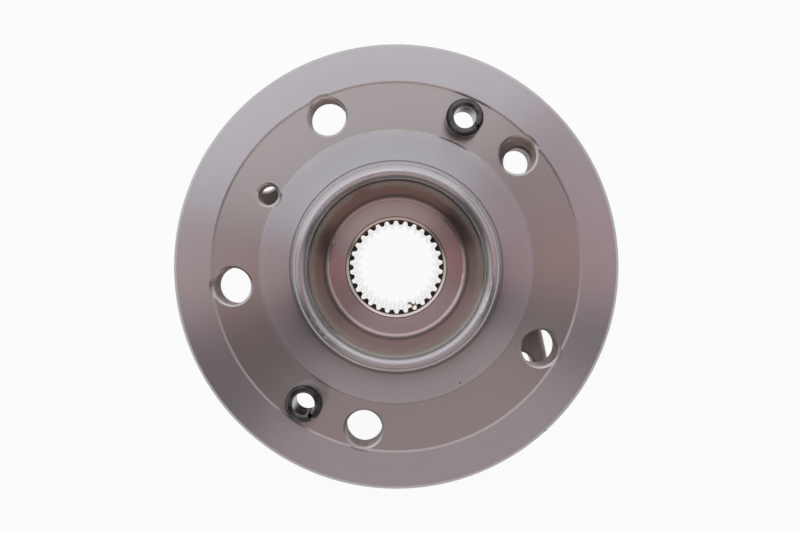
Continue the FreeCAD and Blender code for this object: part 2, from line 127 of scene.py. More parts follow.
# Soft panels of light on a dark room: angle round the axis, half width and soft edge in degrees, then the
# panel's colour near the zenith, below it and low down
PANELS = {
    "right card": (22, 34, 16, ((0.95, 0.75, 0.80), (0.70, 0.75, 0.80), (0.30, 0.30, 0.30))),
    "rosy card": (0, 10, 14, ((0.80, 0.35, 0.40), (0.80, 0.75, 0.75), (0.20, 0.20, 0.20))),
    "left card": (183, 13, 14, ((0.80, 0.50, 0.50), (0.90, 0.95, 0.95), (0.30, 0.30, 0.30))),
    "top softbox": (108, 60, 16, ((1.35, 1.40, 1.50), (1.10, 1.00, 1.10), (0.75, 0.75, 0.75))),
    "bottom fill": (278, 48, 5, ((0.20, 0.15, 0.15), (1.00, 0.75, 0.70), (0.10, 0.10, 0.10))),
}
ROOM_COLOURS = ((0.00, 0.00, 0.00), (0.10, 0.10, 0.10), (0.10, 0.10, 0.10))
ZENITH_COLOUR = (0.05, 0.05, 0.05)

# Tilts from the zenith at which one band of heights gives way to the next, and their soft edge
ZENITH_TILT = math.radians(7.0)
HIGH_TILT = math.radians(26.0)
LOW_TILT = math.radians(50.0)
HORIZON_TILT = math.radians(87.0)
SOFT_TILT = math.radians(4.0)


def mount_radius(name, key="r_mm"):
    """A mount's radius in metres."""
    return MOUNTS[name]["dims"][key] * MM


class HubFinish(bpy.types.PropertyGroup):
    """Sizes and colours of the turned steel, painted highlights and painted shade among them."""

    steel: FloatVectorProperty(
        name="Steel", description="Colour of the ground flange lands",
        subtype="COLOR", size=3, default=(0.585, 0.572, 0.582), min=0, max=1)
    recess: FloatVectorProperty(
        name="Recess", description="Colour of the turned recess between the flange lands",
        subtype="COLOR", size=3, default=(0.50, 0.462, 0.44), min=0, max=1)
    # Painted shade: the wall inside the cup is coloured dark brown for the shade in the hollow
    cup_wall_shade: FloatVectorProperty(
        name="Cup wall", description="Colour of the oily wall of the nut cup",
        subtype="COLOR", size=3, default=(0.35, 0.315, 0.285), min=0, max=1)
    nut_seat: FloatVectorProperty(
        name="Nut seat", description="Colour of the axle nut's seat",
        subtype="COLOR", size=3, default=(0.54, 0.41, 0.39), min=0, max=1)
    # Painted shade: the round corner is coloured darker than the seat it leads to
    cup_corner_shade: FloatVectorProperty(
        name="Cup corner", description="Colour of the round corner between the cup's wall and the seat",
        subtype="COLOR", size=3, default=(0.43, 0.42, 0.42), min=0, max=1)
    # Painted highlight: the bevel into the splined bore is coloured pale for the light it catches
    spline_mouth: FloatVectorProperty(
        name="Spline mouth", description="Colour of the bevel that leads into the spline",
        subtype="COLOR", size=3, default=(0.78, 0.74, 0.71), min=0, max=1)
    # Painted shade: dark edges at the splined bore's mouth and on the tops of its teeth
    seat_line_shade: FloatVectorProperty(
        name="Seat line", description="Colour of the dark edge between the nut seat and the spline",
        subtype="COLOR", size=3, default=(0.15, 0.11, 0.09), min=0, max=1)
    # Painted reflection: the splined bore is coloured near white for the glare of the white floor seen through it
    spline: FloatVectorProperty(
        name="Spline", description="Colour of the freshly broached spline",
        subtype="COLOR", size=3, default=(0.95, 0.94, 0.93), min=0, max=1)
    # In the knuckle holes this colour is a painted highlight; on the hub's tapped holes it is their oily tone
    hole_wall_and_highlight: FloatVectorProperty(
        name="Hole walls", description="Colour of the oily walls of the tapped holes",
        subtype="COLOR", size=3, default=(0.52, 0.46, 0.43), min=0, max=1)
    forged: FloatVectorProperty(
        name="Forged back", description="Colour of the forged back of the flange",
        subtype="COLOR", size=3, default=(0.24, 0.22, 0.21), min=0, max=1)
    # Painted shade: the ring and its knuckle plate are coloured dark, partly for their oil and partly for the
    # shade they lie in under the flange
    outer_ring: FloatVectorProperty(
        name="Outer ring", description="Colour of the oily outer ring and its knuckle plate",
        subtype="COLOR", size=3, default=(0.38, 0.34, 0.32), min=0, max=1)
    oil: FloatVectorProperty(
        name="Oil", description="Colour that the preserving oil gives the steel in patches",
        subtype="COLOR", size=3, default=(0.42, 0.36, 0.33), min=0, max=1)
    grain_spacing: FloatProperty(
        name="Grain spacing", description="Distance between turning marks",
        subtype="DISTANCE", unit="LENGTH", default=0.00035)
    bolt_phase: FloatProperty(
        name="Bolt hole angle", description="Angle of the first wheel bolt hole",
        subtype="ANGLE", unit="ROTATION", default=math.radians(41.8))
    bolt_thread: FloatProperty(
        name="Bolt thread pitch", description="Pitch of the thread in the wheel bolt holes",
        subtype="DISTANCE", unit="LENGTH", default=0.0015)
    screw_thread: FloatProperty(
        name="Screw thread pitch", description="Pitch of the thread in the disc screw hole",
        subtype="DISTANCE", unit="LENGTH", default=0.00125)


class StudioSettings(bpy.types.PropertyGroup):
    """Camera and light."""

    camera_distance: FloatProperty(
        name="Camera distance", description="Height of the camera over the flange face",
        subtype="DISTANCE", unit="LENGTH", default=0.330)
    camera_foot: FloatVectorProperty(
        name="Camera foot", description="Point of the flange plane that lies under the camera",
        subtype="XYZ", unit="LENGTH", size=2, default=(0.0012, 0.0053))
    camera_aim: FloatVectorProperty(
        name="Camera aim", description="Point of the flange plane at the picture's centre",
        subtype="XYZ", unit="LENGTH", size=2, default=(0.00126, 0.00028))
    camera_roll: FloatProperty(
        name="Camera roll", description="Turn of the picture against the model's axes",
        subtype="ANGLE", unit="ROTATION", default=math.radians(0.8))
    lens: FloatProperty(
        name="Lens", description="Focal length on a 36 mm sensor",
        subtype="DISTANCE_CAMERA", default=43.85)
    floor_size: FloatProperty(
        name="Floor size", description="Side of the square floor",
        subtype="DISTANCE", unit="LENGTH", default=6.0)


def settings():
    """Both groups of settings of the scene."""
    scene = bpy.context.scene
    return scene.hub_finish, scene.hub_studio


def add(tree, kind, **values):
    """New node with its plain properties set; a dictionary under inputs sets socket defaults by name."""
    node = tree.nodes.new(kind)
    sockets = values.pop("inputs", {})
    for name, value in values.items():
        setattr(node, name, value)
    for name, value in sockets.items():
        node.inputs[name].default_value = value
    return node


def maths(tree, operation, first, second=None):
    """Math node on sockets or numbers; returns its output socket."""
    node = tree.nodes.new("ShaderNodeMath")
    node.operation = operation
    for index, value in enumerate((first, second)):
        if value is None:
            continue
        if isinstance(value, (int, float)):
            node.inputs[index].default_value = value
        else:
            tree.links.new(value, node.inputs[index])
    return node.outputs[0]


def blended(tree, factor, first, second):
    """Colour mix of two sockets or colours by a factor socket; returns its output socket."""
    node = tree.nodes.new("ShaderNodeMix")
    node.data_type = "RGBA"
    for socket, value in ((node.inputs[0], factor), (node.inputs[6], first), (node.inputs[7], second)):
        if hasattr(value, "is_linked"):
            tree.links.new(value, socket)
        elif isinstance(value, (int, float)):
            socket.default_value = value
        else:
            socket.default_value = (*value, 1.0)
    return node.outputs[2]


def spread(tree, value, low, high, to_low=0.0, to_high=1.0, smooth=True):
    """Map Range on a socket; returns its output socket."""
    node = add(tree, "ShaderNodeMapRange", interpolation_type="SMOOTHSTEP" if smooth else "LINEAR", inputs={
        "From Min": low, "From Max": high, "To Min": to_low, "To Max": to_high})
    tree.links.new(value, node.inputs["Value"])
    return node.outputs["Result"]


def new_group(name, inputs, outputs):
    """Empty shader node group with named sockets; returns the tree and its input and output nodes."""
    tree = bpy.data.node_groups.new(name, "ShaderNodeTree")
    for label, kind, value in inputs:
        socket = tree.interface.new_socket(name=label, in_out="INPUT", socket_type=kind)
        socket.default_value = value
    for label, kind in outputs:
        tree.interface.new_socket(name=label, in_out="OUTPUT", socket_type=kind)
    return tree, tree.nodes.new("NodeGroupInput"), tree.nodes.new("NodeGroupOutput")


def use_group(tree, name, **values):
    """A shader node group placed in a tree, with its inputs set to values or linked to sockets."""
    node = tree.nodes.new("ShaderNodeGroup")
    node.node_tree = bpy.data.node_groups[name]
    for label, value in values.items():
        socket = node.inputs[label.replace("_", " ")]
        if hasattr(value, "is_linked"):
            tree.links.new(value, socket)
        else:
            socket.default_value = value
    return node


def build_polar_group():
    """Group that turns a point into its distance from the Z axis, its angle and its height."""
    tree, start, end = new_group(
        "Polar place", [("Vector", "NodeSocketVector", (0, 0, 0))],
        [("Radius", "NodeSocketFloat"), ("Angle", "NodeSocketFloat"), ("Height", "NodeSocketFloat")])
    parts = add(tree, "ShaderNodeSeparateXYZ")
    tree.links.new(start.outputs["Vector"], parts.inputs[0])
    x, y, z = parts.outputs
    across = maths(tree, "ADD", maths(tree, "MULTIPLY", x, x), maths(tree, "MULTIPLY", y, y))
    tree.links.new(maths(tree, "SQRT", across), end.inputs["Radius"])
    tree.links.new(maths(tree, "ARCTAN2", y, x), end.inputs["Angle"])
    tree.links.new(z, end.inputs["Height"])


def build_turned_grain():
    """Group for turning marks: fine rings about the Z axis, broken up a little round the circle."""
    tree, start, end = new_group(
        "Turned grain",
        [("Vector", "NodeSocketVector", (0, 0, 0)), ("Spacing", "NodeSocketFloat", 0.0003),
         ("Seed", "NodeSocketFloat", 0.0)],
        [("Fine", "NodeSocketFloat"), ("Broad", "NodeSocketFloat")])
    place = use_group(tree, "Polar place", Vector=start.outputs["Vector"])
    along = maths(tree, "ADD", place.outputs["Radius"], place.outputs["Height"])
    steps = maths(tree, "DIVIDE", along, start.outputs["Spacing"])
    seeded = maths(tree, "ADD", steps, start.outputs["Seed"])
    fine = add(tree, "ShaderNodeTexNoise", noise_dimensions="1D", inputs={"Scale": 1.0, "Detail": 3.0})
    tree.links.new(seeded, fine.inputs["W"])
    broad = add(tree, "ShaderNodeTexNoise", noise_dimensions="1D", inputs={"Scale": 0.11, "Detail": 4.0})
    tree.links.new(seeded, broad.inputs["W"])
    tree.links.new(fine.outputs["Fac"], end.inputs["Fine"])
    tree.links.new(broad.outputs["Fac"], end.inputs["Broad"])


def build_oil_film():
    """Group for the patchy film of preserving oil: soft clouds, and small specks."""
    tree, start, end = new_group(
        "Oil film",
        [("Vector", "NodeSocketVector", (0, 0, 0)), ("Scale", "NodeSocketFloat", 60.0),
         ("Speck Scale", "NodeSocketFloat", 900.0)],
        [("Cloud", "NodeSocketFloat"), ("Speck", "NodeSocketFloat")])
    cloud = add(tree, "ShaderNodeTexNoise", inputs={"Detail": 5.0, "Roughness": 0.6})
    tree.links.new(start.outputs["Vector"], cloud.inputs["Vector"])
    tree.links.new(start.outputs["Scale"], cloud.inputs["Scale"])
    speck = add(tree, "ShaderNodeTexNoise", inputs={"Detail": 1.0})
    tree.links.new(start.outputs["Vector"], speck.inputs["Vector"])
    tree.links.new(start.outputs["Speck Scale"], speck.inputs["Scale"])
    tree.links.new(spread(tree, cloud.outputs["Fac"], 0.35, 0.7), end.inputs["Cloud"])
    tree.links.new(spread(tree, speck.outputs["Fac"], 0.72, 0.80), end.inputs["Speck"])


def build_tapped_thread():
    """Group for a ring of tapped holes: the thread on the walls as a height in metres, and softened mouths."""
    tree, start, end = new_group(
        "Tapped thread",
        [("Vector", "NodeSocketVector", (0, 0, 0)), ("Circle", "NodeSocketFloat", 0.056),
         ("Phase", "NodeSocketFloat", 0.0), ("Count", "NodeSocketFloat", 5.0),
         ("Bore", "NodeSocketFloat", 0.00625), ("Mouth", "NodeSocketFloat", 0.007),
         ("Pitch", "NodeSocketFloat", 0.0015)],
        [("Height", "NodeSocketFloat"), ("Wall", "NodeSocketFloat"), ("Bevel", "NodeSocketFloat")])
    place = use_group(tree, "Polar place", Vector=start.outputs["Vector"])
    step = maths(tree, "DIVIDE", 2 * math.pi, start.outputs["Count"])
    turned = maths(tree, "SUBTRACT", place.outputs["Angle"], start.outputs["Phase"])
    shifted = maths(tree, "ADD", turned, maths(tree, "MULTIPLY", step, 0.5))
    wrapped = maths(tree, "FLOORED_MODULO", shifted, step)
    folded = maths(tree, "SUBTRACT", wrapped, maths(tree, "MULTIPLY", step, 0.5))
    local_x = maths(tree, "SUBTRACT", maths(
        tree, "MULTIPLY", place.outputs["Radius"], maths(tree, "COSINE", folded)), start.outputs["Circle"])
    local_y = maths(tree, "MULTIPLY", place.outputs["Radius"], maths(tree, "SINE", folded))
    reach = maths(tree, "SQRT", maths(
        tree, "ADD", maths(tree, "MULTIPLY", local_x, local_x), maths(tree, "MULTIPLY", local_y, local_y)))
    around = maths(tree, "DIVIDE", maths(tree, "ARCTAN2", local_y, local_x), 2 * math.pi)
    climb = maths(tree, "ADD", maths(tree, "DIVIDE", place.outputs["Height"], start.outputs["Pitch"]), around)
    wave = maths(tree, "MULTIPLY", maths(tree, "PINGPONG", climb, 0.5), start.outputs["Pitch"])
    limit = maths(tree, "MULTIPLY", start.outputs["Bore"], 1.01)
    wall = maths(tree, "LESS_THAN", reach, limit)
    past = maths(tree, "MAXIMUM", maths(tree, "SUBTRACT", reach, start.outputs["Bore"]), 0.0)
    width = maths(tree, "SUBTRACT", start.outputs["Mouth"], start.outputs["Bore"])
    eased = maths(tree, "MULTIPLY", maths(tree, "MINIMUM", past, width), -EASED_SLOPE)
    tree.links.new(maths(tree, "ADD", maths(tree, "MULTIPLY", wave, wall), eased), end.inputs["Height"])
    tree.links.new(wall, end.inputs["Wall"])
    inside = maths(tree, "LESS_THAN", reach, start.outputs["Mouth"])
    tree.links.new(maths(tree, "SUBTRACT", inside, wall), end.inputs["Bevel"])


def build_spot_mark():
    """Group for a single small mark: 1 within its size of a point, with a soft rim."""
    tree, start, end = new_group(
        "Spot mark",
        [("Vector", "NodeSocketVector", (0, 0, 0)), ("Place", "NodeSocketVector", (0, 0, 0)),
         ("Size", "NodeSocketFloat", 0.0005), ("Depth", "NodeSocketFloat", 0.0005)],
        [("Mask", "NodeSocketFloat")])
    offset = add(tree, "ShaderNodeVectorMath", operation="SUBTRACT")
    tree.links.new(start.outputs["Vector"], offset.inputs[0])
    tree.links.new(start.outputs["Place"], offset.inputs[1])
    squeeze = add(tree, "ShaderNodeCombineXYZ", inputs={"X": 1.0, "Y": 1.0})
    tree.links.new(maths(tree, "DIVIDE", start.outputs["Size"], start.outputs["Depth"]), squeeze.inputs["Z"])
    squeezed = add(tree, "ShaderNodeVectorMath", operation="MULTIPLY")
    tree.links.new(offset.outputs["Vector"], squeezed.inputs[0])
    tree.links.new(squeeze.outputs["Vector"], squeezed.inputs[1])
    gap = add(tree, "ShaderNodeVectorMath", operation="LENGTH")
    tree.links.new(squeezed.outputs["Vector"], gap.inputs[0])
    share = maths(tree, "DIVIDE", gap.outputs["Value"], start.outputs["Size"])
    tree.links.new(spread(tree, share, 0.6, 1.0, 1.0, 0.0), end.inputs["Mask"])


def build_shared_groups():
    """All shader node groups that the finishes share."""
    build_polar_group()
    build_turned_grain()
    build_oil_film()
    build_tapped_thread()
    build_spot_mark()


def start_material(name):
    """New node material; returns it with its tree, its Principled shader and its object coordinates."""
    material = bpy.data.materials.new(name)
    material.use_nodes = True
    tree = material.node_tree
    shader = tree.nodes["Principled BSDF"]
    where = add(tree, "ShaderNodeTexCoord").outputs["Object"]
    return material, tree, shader, where


def round_tangent(tree, shader, anisotropy):
    """Makes the shader's highlight fan out as on a surface turned about the Z axis."""
    tangent = add(tree, "ShaderNodeTangent", direction_type="RADIAL", axis="Z")
    tree.links.new(tangent.outputs[0], shader.inputs["Tangent"])
    shader.inputs["Anisotropic"].default_value = anisotropy
    shader.inputs["Anisotropic Rotation"].default_value = 0.25


def bumped(tree, shader, height, distance=1.0, strength=1.0):
    """Feeds a height, in metres when distance is 1, to the shader's normal."""
    bump = add(tree, "ShaderNodeBump", inputs={"Strength": strength, "Distance": distance})
    tree.links.new(height, bump.inputs["Height"])
    tree.links.new(bump.outputs[0], shader.inputs["Normal"])


def between(tree, value, low, high, soft):
    """Mask that is 1 where a socket lies between two values, with soft ends; returns its output socket."""
    rise = spread(tree, value, low - soft, low + soft)
    fall = spread(tree, value, high - soft, high + soft, 1.0, 0.0)
    return maths(tree, "MULTIPLY", rise, fall)


def hub_zones(tree, radius, height):
    """Masks of the hub's differently finished surfaces, and of the painted shade and painted highlights in its
    cup and splined bore, by name, in the order that they are laid on.

    The numbers are radii and heights in metres, between which each surface begins or ends.
    """
    in_front = spread(tree, height, -0.0013, -0.0009)
    behind = spread(tree, height, -0.0045, -0.0035, 1.0, 0.0)
    outside_cup = spread(tree, radius, 0.0340, 0.0350)
    in_cup = spread(tree, radius, 0.0284, 0.0288, 1.0, 0.0)
    return {
        "recess": maths(tree, "MULTIPLY", between(tree, radius, 0.0462, 0.0629, 0.0001), in_front),
        # Painted shade: the wall inside the cup
        "cup_wall_shade": maths(tree, "MULTIPLY", in_cup, spread(tree, height, -0.0006, 0.0000)),
        # Painted shade: the round corner at the foot of the cup
        "cup_corner_shade": maths(tree, "MULTIPLY", in_cup, between(tree, height, -0.0009, 0.0003, 0.0002)),
        "nut_seat": maths(tree, "MULTIPLY", in_cup, between(tree, height, -0.0030, -0.0008, 0.0001)),
        # Painted highlight: the bevel into the splined bore
        "spline_mouth": maths(tree, "MULTIPLY", between(tree, radius, 0.0162, 0.0170, 0.00008),
                              between(tree, height, -0.0018, -0.0010, 0.0001)),
        # Painted shade: the edges of the bore's mouth and the tops of the teeth
        "seat_line_shade": maths(tree, "MULTIPLY", maths(
            tree, "ADD", between(tree, radius, 0.0170, 0.0173, 0.00008), spread(
                tree, radius, 0.0161, 0.0162, 1.0, 0.0)), between(tree, height, -0.0034, -0.0008, 0.0001)),
        # Painted reflection: near-white glare in the splined bore
        "spline": maths(tree, "MULTIPLY", spread(tree, radius, 0.0170, 0.0175, 1.0, 0.0),
                        spread(tree, height, -0.0036, -0.0032, 1.0, 0.0)),
        "forged": maths(tree, "MULTIPLY", maths(tree, "MULTIPLY", behind, outside_cup),
                        spread(tree, radius, 0.0742, 0.0746, 1.0, 0.0)),
    }


def land_slopes(tree, radius):
    """The bevels between the flange's lands and its recess: their mask, and the height that eases them."""
    mask = height = None
    for inner, direction in LAND_BEVELS:
        outer = inner + LAND_BEVEL_WIDTH
        here = between(tree, radius, inner, outer, 0.00005)
        rise = spread(tree, radius, inner, outer, 0.0, direction * EASED_SLOPE * LAND_BEVEL_WIDTH, smooth=False)
        mask = here if mask is None else maths(tree, "ADD", mask, here)
        height = rise if height is None else maths(tree, "ADD", height, rise)
    return mask, height


def flattened_crest(tree, radius, on_rim):
    """Height that makes the narrow flat on the crest of the pilot's rim."""
    off_crest = maths(tree, "ABSOLUTE", maths(tree, "SUBTRACT", radius, RIM_CREST))
    off_crest = maths(tree, "MINIMUM", off_crest, RIM_FLAT)
    rise = maths(tree, "DIVIDE", maths(tree, "MULTIPLY", off_crest, off_crest), RIM_WEAKNESS * RIM_ROUND)
    return maths(tree, "MULTIPLY", rise, on_rim)


def hub_steel():
    """The hub's finish: ground lands, darker turned recess, forged back, tapped holes, with painted shade in the
    cup, painted highlights on bevels and a painted glare in the splined bore.
    """
    finish, _ = settings()
    material, tree, shader, where = start_material("Hub steel")
    place = use_group(tree, "Polar place", Vector=where)
    zones = hub_zones(tree, place.outputs["Radius"], place.outputs["Height"])
    base = tuple(finish.steel)
    for name, mask in zones.items():
        base = blended(tree, mask, base, tuple(getattr(finish, name)))
    bolts = use_group(
        tree, "Tapped thread", Vector=where, Circle=MOUNTS["wheel_bolts"]["dims"]["pcd_mm"] * MM / 2,
        Phase=finish.bolt_phase, Count=float(MOUNTS["wheel_bolts"]["dims"]["count"]),
        Bore=mount_radius("wheel_bolts", "hole_r_mm"), Mouth=BOLT_MOUTH, Pitch=finish.bolt_thread)
    x, y, _ = MOUNTS["disc_screw"]["pos_m"]
    screw = use_group(
        tree, "Tapped thread", Vector=where, Circle=math.hypot(x, y), Phase=math.atan2(y, x), Count=1.0,
        Bore=mount_radius("disc_screw"), Mouth=SCREW_MOUTH, Pitch=finish.screw_thread)
    tapped = maths(tree, "MAXIMUM", bolts.outputs["Wall"], screw.outputs["Wall"])
    base = blended(tree, tapped, base, tuple(finish.hole_wall_and_highlight))
    # Painted highlight on the bevelled mouths of the tapped holes
    bevels = maths(tree, "MAXIMUM", bolts.outputs["Bevel"], screw.outputs["Bevel"])
    base = blended(tree, bevels, base, HOLE_BEVEL_HIGHLIGHT)
    slopes, eased = land_slopes(tree, place.outputs["Radius"])
    # Painted highlight on the bevels between the lands and the recess
    base = blended(tree, slopes, base, LAND_BEVEL_HIGHLIGHT)
    grain = use_group(tree, "Turned grain", Vector=where, Spacing=finish.grain_spacing)
    film = use_group(tree, "Oil film", Vector=where)
    tone = spread(tree, grain.outputs["Broad"], *NOISE_RANGE, 0.0, 0.05)
    patch = maths(tree, "MULTIPLY", film.outputs["Cloud"], 0.06)
    not_spline = maths(tree, "SUBTRACT", 1.0, zones["spline"])
    oily = maths(tree, "MULTIPLY", maths(tree, "ADD", tone, patch), not_spline)
    base = blended(tree, oily, base, tuple(finish.oil))
    marked = 0.0
    for spot, size, depth, colour in SPOTS:
        mark = use_group(tree, "Spot mark", Vector=where, Place=spot, Size=size, Depth=depth)
        base = blended(tree, mark.outputs["Mask"], base, colour)
        marked = maths(tree, "MAXIMUM", mark.outputs["Mask"], marked)
    tree.links.new(base, shader.inputs["Base Color"])
    tree.links.new(spread(tree, marked, 0.0, 1.0, 1.0, MARK_METALLIC), shader.inputs["Metallic"])
    rough = spread(tree, grain.outputs["Fine"], *NOISE_RANGE, *LAND_ROUGHNESS)
    on_rim = spread(tree, place.outputs["Height"], *RIM_FOOT)
    added = [(zones[name], amount) for name, amount in ADDED_ROUGHNESS.items()]
    added += [(slopes, BEVEL_ROUGHNESS), (marked, MARK_ROUGHNESS), (on_rim, RIM_ROUGHNESS)]
    for mask, amount in added:
        rough = maths(tree, "ADD", rough, maths(tree, "MULTIPLY", mask, amount))
    tree.links.new(rough, shader.inputs["Roughness"])
    round_tangent(tree, shader, HUB_ANISOTROPY)
    fine = maths(tree, "MULTIPLY", grain.outputs["Fine"], HUB_GRAIN_HEIGHT)
    skin = maths(tree, "MULTIPLY", film.outputs["Cloud"], zones["forged"])
    skin = maths(tree, "MULTIPLY", skin, FORGED_SKIN_HEIGHT)
    deep = maths(tree, "ADD", bolts.outputs["Height"], screw.outputs["Height"])
    deep = maths(tree, "ADD", deep, eased)
    deep = maths(tree, "ADD", deep, flattened_crest(tree, place.outputs["Radius"], on_rim))
    bumped(tree, shader, maths(tree, "ADD", maths(tree, "ADD", fine, skin), deep))
    return material


def plain_turned(name, colour, roughness, anisotropy, seed):
    """A simpler turned or ground finish, thinly oiled, for the pieces behind the flange."""
    finish, _ = settings()
    material, tree, shader, where = start_material(name)
    grain = use_group(tree, "Turned grain", Vector=where, Spacing=finish.grain_spacing, Seed=seed)
    film = use_group(tree, "Oil film", Vector=where)
    tone = spread(tree, grain.outputs["Broad"], *NOISE_RANGE, 0.0, 0.2)
    patch = maths(tree, "MULTIPLY", film.outputs["Cloud"], 0.25)
    base = blended(tree, maths(tree, "ADD", tone, patch), colour, tuple(c * 0.85 for c in colour))
    tree.links.new(base, shader.inputs["Base Color"])
    shader.inputs["Metallic"].default_value = 1.0
    rough = spread(tree, grain.outputs["Fine"], *NOISE_RANGE, roughness - 0.04, roughness + 0.04)
    tree.links.new(rough, shader.inputs["Roughness"])
    round_tangent(tree, shader, anisotropy)
    bumped(tree, shader, maths(tree, "MULTIPLY", grain.outputs["Fine"], PLAIN_GRAIN_HEIGHT))
    return material


def knuckle_holes():
    """Middles of the knuckle bolt holes, with the radius of each."""
    for name in ("knuckle_bolts_wide", "knuckle_bolts_narrow"):
        x, y, _ = MOUNTS[name]["pos_m"]
        half = MOUNTS[name]["dims"]["spacing_y_mm"] * MM / 2
        for side in (-half, half):
            yield x, y + side, mount_radius(name, "hole_r_mm")


def ring_steel():
    """The outer ring: oily turned steel with coarse facing marks, coloured dark also as painted shade, and tapped
    knuckle holes whose walls and bevels are coloured paler as a painted highlight.
    """
    finish, _ = settings()
    # Painted shade: the ring's dark colour stands partly for the shade it lies in under the flange
    colour = tuple(finish.outer_ring)
    material, tree, shader, where = start_material("Outer ring steel")
    grain = use_group(tree, "Turned grain", Vector=where, Spacing=finish.grain_spacing * 2, Seed=40.0)
    film = use_group(tree, "Oil film", Vector=where)
    tone = spread(tree, grain.outputs["Broad"], *NOISE_RANGE, 0.0, 0.25)
    patch = maths(tree, "MULTIPLY", film.outputs["Cloud"], 0.3)
    base = blended(tree, maths(tree, "ADD", tone, patch), colour, tuple(c * 0.8 for c in colour))
    height = maths(tree, "MULTIPLY", grain.outputs["Fine"], RING_GRAIN_HEIGHT)
    knuckle_hole_highlight = 0.0
    for x, y, radius in knuckle_holes():
        hole = use_group(
            tree, "Tapped thread", Vector=where, Circle=math.hypot(x, y), Phase=math.atan2(y, x), Count=1.0,
            Bore=radius, Mouth=radius + KNUCKLE_BEVEL, Pitch=finish.bolt_thread)
        height = maths(tree, "ADD", height, hole.outputs["Height"])
        knuckle_hole_highlight = maths(tree, "MAXIMUM", maths(tree, "ADD", hole.outputs["Wall"], hole.outputs["Bevel"]), knuckle_hole_highlight)
    # Painted highlight: the knuckle holes' walls and bevels are coloured paler than the ring
    base = blended(tree, knuckle_hole_highlight, base, tuple(finish.hole_wall_and_highlight))
    tree.links.new(base, shader.inputs["Base Color"])
    shader.inputs["Metallic"].default_value = 1.0
    tree.links.new(spread(tree, grain.outputs["Fine"], *NOISE_RANGE, 0.34, 0.42), shader.inputs["Roughness"])
    round_tangent(tree, shader, 0.6)
    bumped(tree, shader, height)
    return material


def lapped_steel():
    """Mirror-like steel of the balls, with faint cloudy wear."""
    material, tree, shader, where = start_material("Ball steel")
    film = use_group(tree, "Oil film", Vector=where, Scale=250.0)
    base = blended(tree, film.outputs["Cloud"], (0.78, 0.78, 0.78), (0.66, 0.65, 0.63))
    tree.links.new(base, shader.inputs["Base Color"])
    shader.inputs["Metallic"].default_value = 1.0
    tree.links.new(spread(tree, film.outputs["Cloud"], 0, 1, 0.06, 0.14), shader.inputs["Roughness"])
    return material


def black_oxide(name, node):
    """Blackened spring steel: near black, oily, rolled round at its ends, with bare steel in specks."""
    material, tree, shader, where = start_material(name)
    film = use_group(tree, "Oil film", Vector=where, Scale=220.0, Speck_Scale=1500.0)
    base = blended(tree, film.outputs["Cloud"], (0.065, 0.064, 0.068), (0.14, 0.135, 0.14))
    base = blended(tree, film.outputs["Speck"], base, (0.22, 0.21, 0.20))
    tree.links.new(base, shader.inputs["Base Color"])
    shader.inputs["Metallic"].default_value = 0.85
    tree.links.new(spread(tree, film.outputs["Cloud"], 0, 1, 0.18, 0.32), shader.inputs["Roughness"])
    low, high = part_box(node)
    shifted = add(tree, "ShaderNodeVectorMath", operation="SUBTRACT")
    tree.links.new(where, shifted.inputs[0])
    shifted.inputs[1].default_value = ((low[0] + high[0]) / 2, (low[1] + high[1]) / 2, 0.0)
    place = use_group(tree, "Polar place", Vector=shifted.outputs["Vector"])
    wall_middle = (high[0] - low[0]) * 0.4
    off_middle = maths(tree, "SUBTRACT", place.outputs["Radius"], wall_middle)
    rolled = maths(tree, "MULTIPLY", maths(tree, "MULTIPLY", off_middle, off_middle), -ROLLED_END)
    uneven = maths(tree, "MULTIPLY", film.outputs["Cloud"], 0.00005)
    bumped(tree, shader, maths(tree, "ADD", rolled, uneven))
    return material


def moulded(name, colour, other, roughness, scale, depth):
    """Moulded plastic or rubber: cloudy colour and a fine pebbled skin."""
    material, tree, shader, where = start_material(name)
    film = use_group(tree, "Oil film", Vector=where, Scale=scale, Speck_Scale=scale * 8)
    base = blended(tree, film.outputs["Cloud"], colour, other)
    tree.links.new(base, shader.inputs["Base Color"])
    tree.links.new(
        spread(tree, film.outputs["Cloud"], 0, 1, roughness - 0.08, roughness + 0.08), shader.inputs["Roughness"])
    bumped(tree, shader, film.outputs["Cloud"], depth, 0.5)
    return material


def dress(names, material):
    """Gives CAD nodes a finish."""
    for name in names:
        slots = frame["nodes"][name].data.materials
        slots.clear()
        slots.append(material)


class HUB_OT_finish_hub(bpy.types.Operator):
    """Gives the flanged hub its turned steel finish"""

    bl_idname = "hub.finish_hub"
    bl_label = "Finish the hub"

    def execute(self, context):
        dress(["wheel_hub"], hub_steel())
        return {"FINISHED"}


class HUB_OT_finish_sleeves(bpy.types.Operator):
    """Gives the two spring sleeves their blackened finish"""

    bl_idname = "hub.finish_sleeves"
    bl_label = "Finish the spring sleeves"

    def execute(self, context):
        for number, node in enumerate(SLEEVE_NODES, 1):
            dress([node], black_oxide(f"Blackened steel {number}", node))
        return {"FINISHED"}


class HUB_OT_finish_rings(bpy.types.Operator):
    """Gives the outer ring and the inner ring their finishes"""

    bl_idname = "hub.finish_rings"
    bl_label = "Finish the rings"

    def execute(self, context):
        dress(["outer_ring"], ring_steel())
        dress(["inner_ring"], plain_turned("Ground race steel", (0.64, 0.63, 0.62), 0.22, 0.5, 80.0))
        return {"FINISHED"}


class HUB_OT_finish_rows(bpy.types.Operator):
    """Gives the balls and the cages of both rows their finishes"""

    bl_idname = "hub.finish_rows"
    bl_label = "Finish the ball rows"

    def execute(self, context):
        dress(BALL_NODES, lapped_steel())
        dress(CAGE_NODES, moulded("Cage nylon", (0.70, 0.66, 0.54), (0.62, 0.58, 0.47), 0.45, 300.0, 0.00003))
        return {"FINISHED"}


